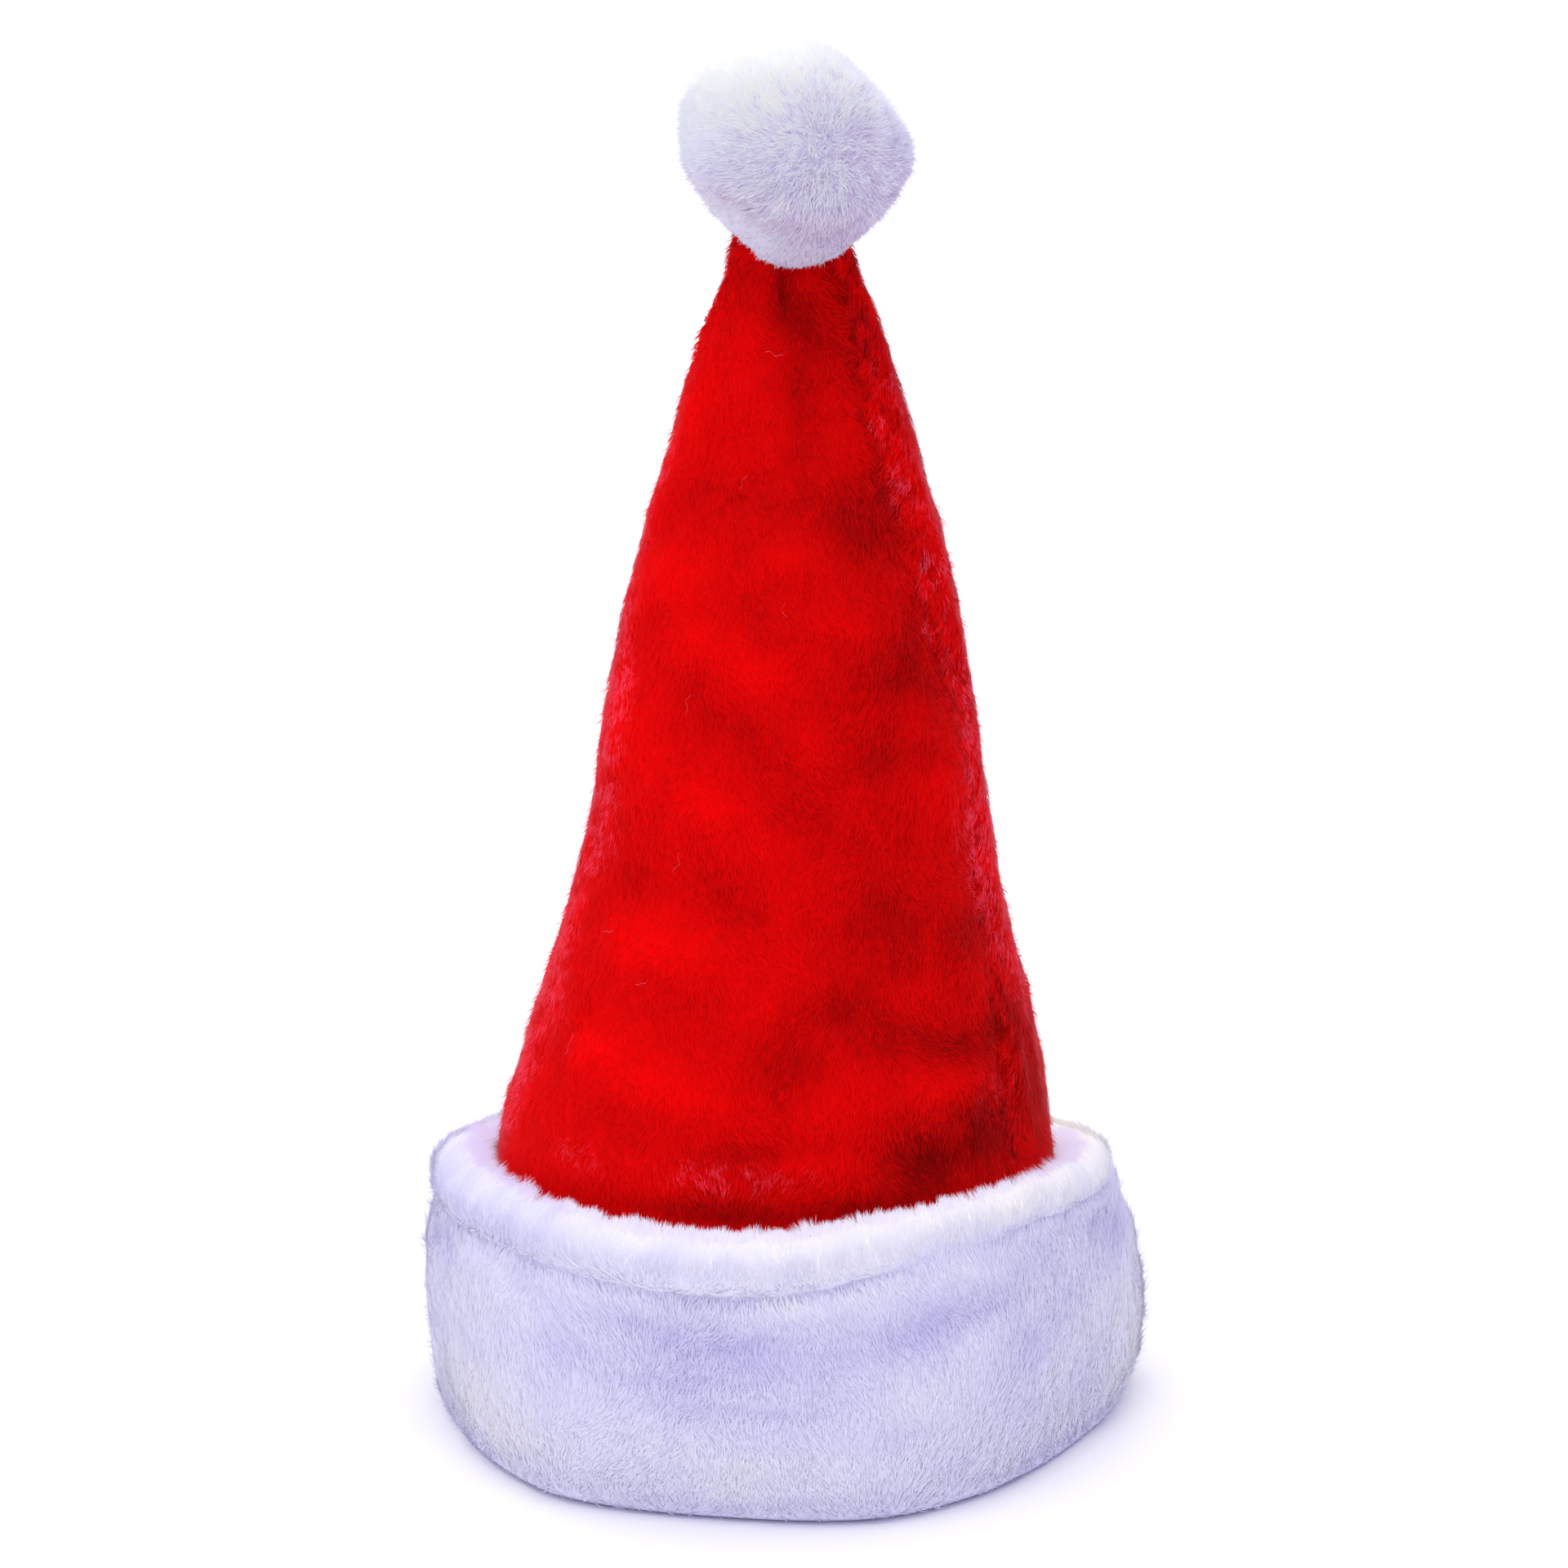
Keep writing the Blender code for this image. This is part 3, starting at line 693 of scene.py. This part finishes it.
class CuffSettings(bpy.types.PropertyGroup):
    """Sizes and colours of the white band."""
    hairs: IntProperty(name="Hairs", description="Hairs in each half of the cuff's pile", default=68000)
    fringe_hairs: IntProperty(name="Fringe hairs", description="Hairs along the roll's inner edge",
                              default=24000)
    length: length_setting("Pile length", "Length of a hair", 0.0060)
    fringe: length_setting("Fringe length", "Length of a hair at the roll's inner edge", 0.0074)
    width: length_setting("Hair width", "Width of a lock of hairs", 0.00045)
    # The whites lean lavender as painted cool shade
    main: colour_setting("White", "Colour of the pile", (0.82, 0.82, 0.93))
    # Bright white also carries painted highlight, deep white painted shade in hollows, the crease, the foot
    # and at the roots
    pale: colour_setting("Bright white", "Colour of the pile where it opens", (0.965, 0.965, 0.93))
    deep: colour_setting("Deep white", "Colour of the pile where it closes", (0.52, 0.50, 0.80))
    sheen: FloatProperty(name="Sheen", description="Light on the hairs seen from the side", default=0.15)


class PompomSettings(bpy.types.PropertyGroup):
    """Sizes and colours of the white ball."""
    hairs: IntProperty(name="Hairs", description="Hairs of the ball", default=70000)
    length: length_setting("Pile length", "Length of a hair", 0.0055)
    width: length_setting("Hair width", "Width of a lock of hairs", 0.00032)
    main: colour_setting("White", "Colour of the pile", (0.80, 0.83, 0.90))
    # Painted light: bright white on top where the light falls, deep white in painted shade underneath
    pale: colour_setting("Bright white", "Colour of the pile on top", (0.87, 0.885, 0.74))
    deep: colour_setting("Deep white", "Colour of the pile underneath", (0.56, 0.45, 0.65))


class StageSettings(bpy.types.PropertyGroup):
    """Camera and lights."""
    distance: length_setting("Distance", "Camera to the hat's axis", 1.25)
    height: length_setting("Height", "Camera above the floor", 0.4924)
    tip: FloatProperty(name="Tip", description="Camera tipped down", default=math.radians(13.28),
                       subtype="ANGLE")
    lens: FloatProperty(name="Lens", description="Focal length in millimetres", default=96.84)
    floor: colour_setting("Floor", "Colour of the floor", (0.93, 0.93, 0.94))
    fill: colour_setting("Fill", "Colour of the light from all round", (0.57, 0.54, 0.96))
    fill_power: FloatProperty(name="Fill power", description="Strength of the light from all round",
                              default=0.60)
    key_power: FloatProperty(name="Key power", description="Strength of the light from above", default=2.4)
    left_power: FloatProperty(name="Left power", description="Strength of the light from the left",
                              default=0.60)
    right_power: FloatProperty(name="Right power", description="Strength of the light from the right",
                               default=0.50)


# Crown

def outer_side(places, normals):
    """Which places are on the crown's outer face."""
    return outwardness(places, normals) > 0.0


def near_seams(places):
    """One beside the side seams, above the cuff, fading to zero."""
    _, _, from_seam = crown_place(places)
    return (1.0 - step_up(np.abs(from_seam), 0.008, 0.014)) * step_up(places[:, 2], 0.060, 0.070)


def crown_waves(places, normals):
    """Soft unevenness of the cone, with puckers that run into the seams."""
    azimuth, up, from_seam = crown_place(places)
    soft = (0.0010 * shade_at(CROWN_FOLDS_AND_SHADE, azimuth, up) + drifts(places, CROWN_UNEVEN)
            + 0.0011 * behind(places) * drift(places, 0.045, 11))
    pucker = np.sin((places[:, 2] + 0.6 * from_seam) * 2.0 * math.pi / PUCKER_PITCH
                    + 3.0 * drift(places, 0.03, 13))
    ruffle = 0.009 * np.hypot(places[:, 0], places[:, 1]) * pucker + 0.0006 * drift(places, 0.007, 20)
    waves = PLUSH_RISE + soft + ruffle * bell(from_seam - 0.005, 0.008) - 0.0008 * bell(from_seam, 0.0030)
    turn = np.cos(np.radians(azimuth))
    waves += turn ** 2 * (0.0034 - 0.0012 * turn) * bell(places[:, 2] - CROWN_TIP, 0.007)
    above = step_up(places[:, 2], 0.085, 0.11)
    return above * np.where(outer_side(places, normals), waves, -waves)


def crown_tone_and_painted_light(places, normals):
    """Tone over the crown: painted shade in its hollows and on its right side, painted highlight on its
    ridges, mottled all round.
    """
    azimuth, up, from_seam = crown_place(places)
    mottle = (0.32 * shade_at(CROWN_FOLDS_AND_SHADE, azimuth, up) + drifts(places, CROWN_MOTTLE)
              + 0.20 * behind(places) * drift(places, 0.045, 11))
    ruffled = bell(from_seam - 0.006, 0.008) * drifts(places, SEAM_MOTTLE)
    # Painted shade: darker towards the right, away from the stronger light on the left
    return 0.56 + mottle + ruffled - 0.09 * rightness(places) - 0.10 * bell(from_seam, 0.003)


def crown_contrast(points, normals):
    """Hairs differ more where the seams ruffle them."""
    _, _, from_seam = crown_place(points)
    return 0.07 + 0.07 * bell(from_seam - 0.006, 0.010)


def crown_painted_sheen(points):
    """Painted sheen on the tips in patches, broken up finely."""
    azimuth, up, from_seam = crown_place(points)
    broken = 0.6 + drifts(points, PAINTED_SHEEN_BREAKS)
    seam = 0.15 * bell(from_seam - 0.007, 0.007) * step_up(up, 0.30, 0.42)
    amount = shade_at(CROWN_PAINTED_SHEEN, azimuth, up) + seam
    return 0.02 + np.clip(amount, 0.0, 1.5) * np.clip(broken, 0.0, 1.2)


def crown_aim(points, normals):
    """Pile falls from the tip to the foot in lazy swirls, and turns into the seams."""
    _, _, from_seam = crown_place(points)
    into = np.sign(from_seam) * bell(from_seam, 0.010) * 0.8
    return np.cross(normals, UP) * (drifts(points, CROWN_SWIRL) + into)[:, None] - UP


def stray_hairs(cloth):
    """Thin curly hairs lying on a cloth, as three-sided tubes in one mesh."""
    tree = BVHTree.FromPolygons([corner.co for corner in cloth.data.vertices],
                                [face.vertices for face in cloth.data.polygons])
    rng = np.random.default_rng(61)
    bm = bmesh.new()
    steps, sides = 16, 3
    turns = [2.0 * math.pi * k / sides for k in range(sides)]
    upright = Vector(UP)
    for azimuth, up, lean, length in STRAY_HAIRS:
        phase = rng.uniform(0.0, 2.0 * math.pi)
        height = CROWN_FOOT + CROWN_TALL * up
        out = Vector((math.cos(math.radians(azimuth)), math.sin(math.radians(azimuth)), 0.0))
        beside = Vector((-out.y, out.x, 0.0))
        cosine, sine = math.cos(math.radians(lean)), math.sin(math.radians(lean))
        rings = []
        for i in range(steps + 1):
            along = length * (i / steps - 0.5)
            sway = length * 0.07 * (math.sin(i * 0.6 + phase) + 1.2 * math.sin(i * 0.23 + 2.0 * phase))
            rise = along * cosine - sway * sine
            across = along * sine + sway * cosine
            start = out * 0.3 + beside * across + upright * (height + rise)
            place, normal, _, _ = tree.ray_cast(start, -out)
            middle = place + normal * STRAY_LIFT
            rings.append([bm.verts.new(middle + STRAY_RADIUS * (normal * math.cos(turn)
                                                                + upright * math.sin(turn)))
                          for turn in turns])
        for low, high in zip(rings, rings[1:]):
            for k in range(sides):
                bm.faces.new((low[k], low[(k + 1) % sides], high[(k + 1) % sides], high[k]))
        bm.faces.new(reversed(rings[0]))
        bm.faces.new(rings[-1])
    bmesh.ops.recalc_face_normals(bm, faces=bm.faces)
    mesh = bpy.data.meshes.new("stray_hairs")
    bm.to_mesh(mesh)
    bm.free()
    return new_piece("stray_hairs", mesh)


class HAT_OT_crown(bpy.types.Operator):
    """Red cone: cloth with a knitted backing inside and short pile outside"""
    bl_idname = "hat.crown"
    bl_label = "Crown"

    def execute(self, context):
        sizes = context.scene.hat_crown
        cloth = refined_copy("crown", "crown_cloth", 2)
        ease_out(cloth, near_seams, 40)
        move_out(cloth, crown_waves)
        cloth.data.shade_smooth()
        paint_tone(cloth, crown_tone_and_painted_light)
        red = pile_material("red_pile", sizes.deep, sizes.main, sizes.pale, sizes.sheen, sizes.sheen_tint,
                            sizes.painted_sheen)
        dress(cloth, red)
        line_inside(cloth, backing_material("red_backing", *BACKING_COLOURS, 420.0),
                    lambda centres, facing: ~outer_side(centres, facing))
        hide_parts("crown")

        plan = {"length_at": lambda points, normals: sizes.length * (1.0 + 0.12 * drift(points, 0.02, 14)),
                "width": sizes.width, "lift": math.radians(8), "guard": 0.14, "guard_lift": math.radians(30),
                "scatter": 0.24, "tuft": 12, "pull": 0.20, "contrast_at": crown_contrast, "soften": 0.82,
                "painted_sheen_at": crown_painted_sheen, "face": own_normals}

        def worth(centres, facing):
            return (outer_side(centres, facing) & (centres[:, 2] > BARE_FOOT)).astype(float)

        made = grow_halves("crown_pile", cloth, sizes.hairs, 21, worth, crown_aim, crown_tone_and_painted_light, plan)
        for pile in made:
            dress_pile(pile, red)
        strays = stray_hairs(cloth)
        material, shader = new_material("stray_hair", 0.6)
        shader.inputs["Base Color"].default_value = STRAY_COLOUR
        dress(strays, material)
        return {"FINISHED"}


# Cuff

class CuffPlaces:
    """Where places are on the cuff, from the height of its roll all round."""

    def __init__(self, band):
        self.marks, self.tops = roll_heights(band)

    def at(self, places):
        """Azimuth, share of the roll's height, the same above the crease, and the crease's depth."""
        azimuth = degrees_round(places)
        up = places[:, 2] / np.interp(azimuth, self.marks, self.tops)
        flat = places * (1, 1, 0)
        marks, heights, depths = np.array(CREASE).T
        crease = np.interp(azimuth, marks, heights) + 0.008 * drift(flat, 0.05, 44)
        deep = np.interp(azimuth, marks, depths) * (0.85 + 0.25 * drift(flat, 0.03, 45))
        return azimuth, up, up - crease, deep

    def waves(self, places, normals):
        """Roll, crease and the band's soft unevenness."""
        azimuth, up, above, deep = self.at(places)
        face = step_up(places[:, 2], 0.003, 0.015) * step_up(outwardness(places, normals), 0.0, 0.4)
        soft = (0.0009 * shade_at(CUFF_FOLDS_AND_SHADE, azimuth, up) + 0.0003 * drift(places, 0.016, 32)
                + 0.0008 * behind(places) * drift(places, 0.040, 31))
        stitched = -0.0015 * deep * bell(above, 0.026) + 0.0012 * bell(above - 0.085, 0.05)
        return face * (soft + stitched + shade_at(CUFF_SWELL, azimuth, up))

    def tone(self, places, normals):
        """Pale on the roll and the band's ridges as painted highlight, deep in the crease, at the foot and in
        the hollows of the band as painted shade.
        """
        azimuth, up, above, deep = self.at(places)
        roll = step_up(above, -0.005, 0.06)
        band = (0.46 + 0.24 * shade_at(CUFF_FOLDS_AND_SHADE, azimuth, up) + 0.04 * drift(places, 0.025, 36)
                + 0.12 * behind(places) * drift(places, 0.040, 31))
        # Painted highlight on the lower band from the floor's light, painted shade at the foot and in the
        # crease
        band += 0.10 * bell(up - 0.15, 0.16) - 0.22 * bell(up, 0.030) - 0.05 * deep * bell(above, 0.016)
        # Painted light: the roll is paler than the band as it faces the light above, and paler on the right,
        # less so at its far end
        right = rightness(places)
        right -= 3.0 * np.maximum(right - 0.75, 0.0)
        return band * (1.0 - roll) + (0.67 + 0.26 * right + 0.05 * drift(places, 0.02, 37)) * roll

    def fringe_tone(self, points, normals):
        """The fringe is deeper in tone at the sides and behind."""
        return self.tone(points, normals) - 0.42 * past_front(points, -0.085)

    def contrast(self, points, normals):
        """Hairs differ more on the band's ridges of painted highlight, and on the roll."""
        azimuth, up, above, _ = self.at(points)
        on_ridges = np.clip(shade_at(CUFF_FOLDS_AND_SHADE, azimuth, up), 0.0, 1.0)
        return 0.025 + 0.10 * on_ridges + 0.02 * (above > 0.0)

    def aim(self, points, normals):
        """Pile runs up the band and over the roll towards the crown."""
        swirl = np.cross(normals, UP) * drifts(points, CUFF_SWIRL)[:, None]
        return UP * 0.85 - outward(points) * 0.75 + swirl

    def worth(self, centres, facing):
        """Bare where the crown hides it, thin underneath, thick on the roll."""
        _, up, above, _ = self.at(centres)
        hidden = (outwardness(centres, facing) < -0.25) & (up < 0.86)
        thin = facing[:, 2] < -0.7
        return np.where(hidden, 0.0, np.where(thin, 0.3, np.where(above > 0.0, 1.4, 1.0)))

    def fringe_worth(self, centres, facing):
        """Only the inner shoulder of the roll, next to the crown."""
        _, up, _, _ = self.at(centres)
        out = outwardness(centres, facing)
        return ((out < 0.15) & (out > -0.75) & (up > 0.93)).astype(float)

    def fringe_face(self, points, normals):
        """Light falls on the tufts as on the top of the roll."""
        return unit(UP + 0.45 * outward(points) + 0.3 * normals)

    def fringe_aim(self, points, normals):
        """Tufts stand up along the crown's face in front, and lie towards it at the sides and behind."""
        out = outward(points)
        calm = past_front(points)[:, None]
        swirl = np.cross(UP, out) * drifts(points, FRINGE_SWIRL)[:, None]
        return UP * (0.90 - 0.62 * calm) - out * (0.34 + 0.56 * calm) + swirl


def lower_rim(band):
    """Lets the roll sink on its right, behind the crown."""
    places, _, _ = mesh_numbers(band.data)
    off = degrees_off(degrees_round(places), 18)
    places[:, 2] -= 0.0036 * bell(off, 42) * step_up(places[:, 2], 0.035, 0.080)
    set_places(band, places)


class HAT_OT_cuff(bpy.types.Operator):
    """White turned-up band: padded cloth with long pile, tufted along the top of its roll"""
    bl_idname = "hat.cuff"
    bl_label = "Cuff"

    def execute(self, context):
        sizes = context.scene.hat_cuff
        band = refined_copy("cuff", "cuff_band", 2)
        lower_rim(band)
        places = CuffPlaces(band)
        move_out(band, places.waves)
        band.data.shade_smooth()
        paint_tone(band, places.tone)
        white = pile_material("white_pile", sizes.deep, sizes.main, sizes.pale, sizes.sheen, WHITE_SHEEN)
        dress(band, white)
        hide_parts("cuff")

        def length_at(points, normals):
            _, _, above, deep = places.at(points)
            crease = 1.0 - 0.5 * deep * bell(above, 0.035) * (outwardness(points, normals) > 0.3)
            under = np.where(normals[:, 2] < -0.6, 0.4, 1.0)
            return sizes.length * crease * under * (1.0 + 0.12 * drift(points, 0.02, 35))

        plan = {"length_at": length_at, "width": sizes.width, "lift": math.radians(7), "guard": 0.10,
                "guard_lift": math.radians(28), "scatter": 0.22, "tuft": 14, "pull": 0.20,
                "contrast_at": places.contrast, "soften": 0.90, "painted_sheen_at": no_painted_sheen, "face": own_normals}
        halves = grow_halves("cuff_pile", band, sizes.hairs, 41, places.worth, places.aim, places.tone, plan)
        for pile in halves:
            dress_pile(pile, white)

        def fringe_length_at(points, normals):
            calm = past_front(points)
            return sizes.fringe * (0.74 + 0.36 * calm) * (1.0 + 0.25 * (1.0 - calm) * drift(points, 0.01, 46))

        plan = {"length_at": fringe_length_at, "width": 0.5 * sizes.width, "lift": None, "scatter": 0.24,
                "tuft": 18, "pull": 0.42, "painted_sheen_at": no_painted_sheen, "face": places.fringe_face,
                "contrast_at": lambda points, normals: 0.12 - 0.09 * past_front(points),
                "soften": lambda points: 0.75 + 0.22 * past_front(points)}
        fringe = grow_pile("cuff_fringe", band, sizes.fringe_hairs, 43, places.fringe_worth,
                           places.fringe_aim, places.fringe_tone, plan)
        # The fringe's lavender and pink tints are painted shade and light thrown from the crown
        tips = pile_material("fringe_pile_painted_shade", *FRINGE_SHADED_COLOURS, sizes.sheen, WHITE_SHEEN)
        dress_pile(fringe, tips)
        return {"FINISHED"}


# Pompom

def press(ball, middle, table):
    """Moves the parts of a ball that lie towards each direction of the table."""
    places, _, _ = mesh_numbers(ball.data)
    out = unit(places - middle)
    for direction, spread, move in table:
        way = way_of(direction)
        angle = np.arccos(np.clip(out @ way, -1.0, 1.0))
        places += way * (move * bell(angle, spread))[:, None]
    set_places(ball, places)


class HAT_OT_pompom(bpy.types.Operator):
    """White ball: a soft core with pile combed away from a parting"""
    bl_idname = "hat.pompom"
    bl_label = "Pompom"

    def execute(self, context):
        sizes = context.scene.hat_pompom
        looks = context.scene.hat_cuff
        ball = refined_copy("pompom", "pompom_ball", 0)
        skin = ball.modifiers.new("skin", "REMESH")
        skin.mode = "VOXEL"
        skin.voxel_size = 0.0016
        relax = ball.modifiers.new("relax", "SMOOTH")
        relax.factor = 0.6
        relax.iterations = 16
        apply_all(ball)
        ball.data.shade_smooth()
        low, high = (np.array(corner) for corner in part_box("pompom"))
        middle = (low + high) / 2.0
        middle[2] = high[2] - POMPOM_HEART
        press(ball, middle, BALL_SHAPE)
        parting = way_of(POMPOM_PARTING)

        def tone_at(places, normals):
            # Painted light: paler where the pile faces the light from above left, deeper below
            lit = normals @ way_of(POMPOM_LIT)
            return 0.44 + 0.32 * np.minimum(lit, 0.75) + 0.05 * drift(places, 0.02, 53)

        def worth(centres, facing):
            return (np.sum(facing * unit(centres - middle), axis=1) > 0.35).astype(float)

        def aim(points, normals):
            return np.cross(normals, parting) * drifts(points, POMPOM_SWIRL)[:, None] - parting

        def underside(points):
            return step_up(middle[2] - points[:, 2], 0.012, 0.026)

        def length_at(points, normals):
            return sizes.length * (1.0 - 0.40 * underside(points)) * (1.0 + 0.10 * drift(points, 0.012, 52))

        def contrast_at(points, normals):
            near = np.sum(unit(points - middle) * parting, axis=1)
            return 0.05 - 0.03 * underside(points) + 0.17 * step_up(near, 0.35, 0.95)

        paint_tone(ball, tone_at)
        white = pile_material("ball_pile", sizes.deep, sizes.main, sizes.pale, looks.sheen, WHITE_SHEEN)
        dress(ball, white)
        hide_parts("pompom")
        plan = {"length_at": length_at, "width": sizes.width, "lift": math.radians(12), "guard": 0.20,
                "guard_lift": math.radians(35), "scatter": 0.22, "tuft": 12, "pull": 0.30,
                "contrast_at": contrast_at, "soften": lambda points: 0.74 + 0.20 * underside(points),
                "painted_sheen_at": no_painted_sheen, "face": own_normals}
        pile = grow_pile("pompom_pile", ball, sizes.hairs, 54, worth, aim, tone_at, plan)
        dress_pile(pile, white)
        return {"FINISHED"}


# Stage

def sun_light(name, towards, power, colour):
    """An even soft light that comes from the direction `towards`."""
    lamp = bpy.data.lights.new(name, "SUN")
    lamp.energy = power
    lamp.angle = LIGHT_SPREAD
    lamp.color = colour
    holder = bpy.data.objects.new(name, lamp)
    holder.rotation_euler = Vector(towards).to_track_quat("Z", "Y").to_euler()
    bpy.context.scene.collection.objects.link(holder)


class HAT_OT_stage(bpy.types.Operator):
    """Pale floor, soft lights and the camera"""
    bl_idname = "hat.stage"
    bl_label = "Stage"

    def execute(self, context):
        sizes = context.scene.hat_stage
        bm = bmesh.new()
        bmesh.ops.create_grid(bm, x_segments=1, y_segments=1, size=20.0)
        mesh = bpy.data.meshes.new("floor")
        bm.to_mesh(mesh)
        bm.free()
        floor = new_piece("floor", mesh)
        material, shader = new_material("floor_paint", 0.9)
        shader.inputs["Base Color"].default_value = (*sizes.floor, 1.0)
        mesh.materials.append(material)

        world = bpy.data.worlds.new("studio")
        world.use_nodes = True
        sky = world.node_tree.nodes["Background"]
        sky.inputs["Color"].default_value = (*sizes.fill, 1.0)
        sky.inputs["Strength"].default_value = sizes.fill_power
        context.scene.world = world
        sun_light("key", (-0.05, 0.12, 1.0), sizes.key_power, (1.0, 0.985, 0.74))
        sun_light("left", (-0.9, -0.7, 0.55), sizes.left_power, (0.97, 0.97, 1.0))
        sun_light("right", (0.9, -0.7, 0.40), sizes.right_power, (0.94, 0.94, 1.0))

        lens = bpy.data.cameras.new("camera")
        lens.lens = sizes.lens
        lens.sensor_width = 36.0
        lens.shift_x = -0.001
        holder = bpy.data.objects.new("camera", lens)
        holder.location = (0.0, -sizes.distance, sizes.height)
        holder.rotation_euler = (math.pi / 2.0 - sizes.tip, 0.0, 0.0)
        context.scene.collection.objects.link(holder)
        context.scene.camera = holder
        context.scene.view_settings.view_transform = "Standard"
        return {"FINISHED"}


class HAT_PT_panel(bpy.types.Panel):
    """Lists the hat's steps"""
    bl_label = "Hat"
    bl_idname = "HAT_PT_panel"
    bl_space_type = "VIEW_3D"
    bl_region_type = "UI"
    bl_category = "Hat"

    def draw(self, context):
        for step in STEPS:
            self.layout.operator(step.bl_idname)


STEPS = (HAT_OT_crown, HAT_OT_cuff, HAT_OT_pompom, HAT_OT_stage)
SETTINGS = (("hat_crown", CrownSettings), ("hat_cuff", CuffSettings),
            ("hat_pompom", PompomSettings), ("hat_stage", StageSettings))


def register():
    for name, kind in SETTINGS:
        bpy.utils.register_class(kind)
        setattr(bpy.types.Scene, name, PointerProperty(type=kind))
    for kind in (*STEPS, HAT_PT_panel):
        bpy.utils.register_class(kind)


def unregister():
    for kind in (HAT_PT_panel, *reversed(STEPS)):
        bpy.utils.unregister_class(kind)
    for name, kind in reversed(SETTINGS):
        delattr(bpy.types.Scene, name)
        bpy.utils.unregister_class(kind)


def main():
    register()
    bpy.ops.hat.stage()
    bpy.ops.hat.crown()
    bpy.ops.hat.cuff()
    bpy.ops.hat.pompom()
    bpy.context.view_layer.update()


if __name__ == "__main__":
    main()
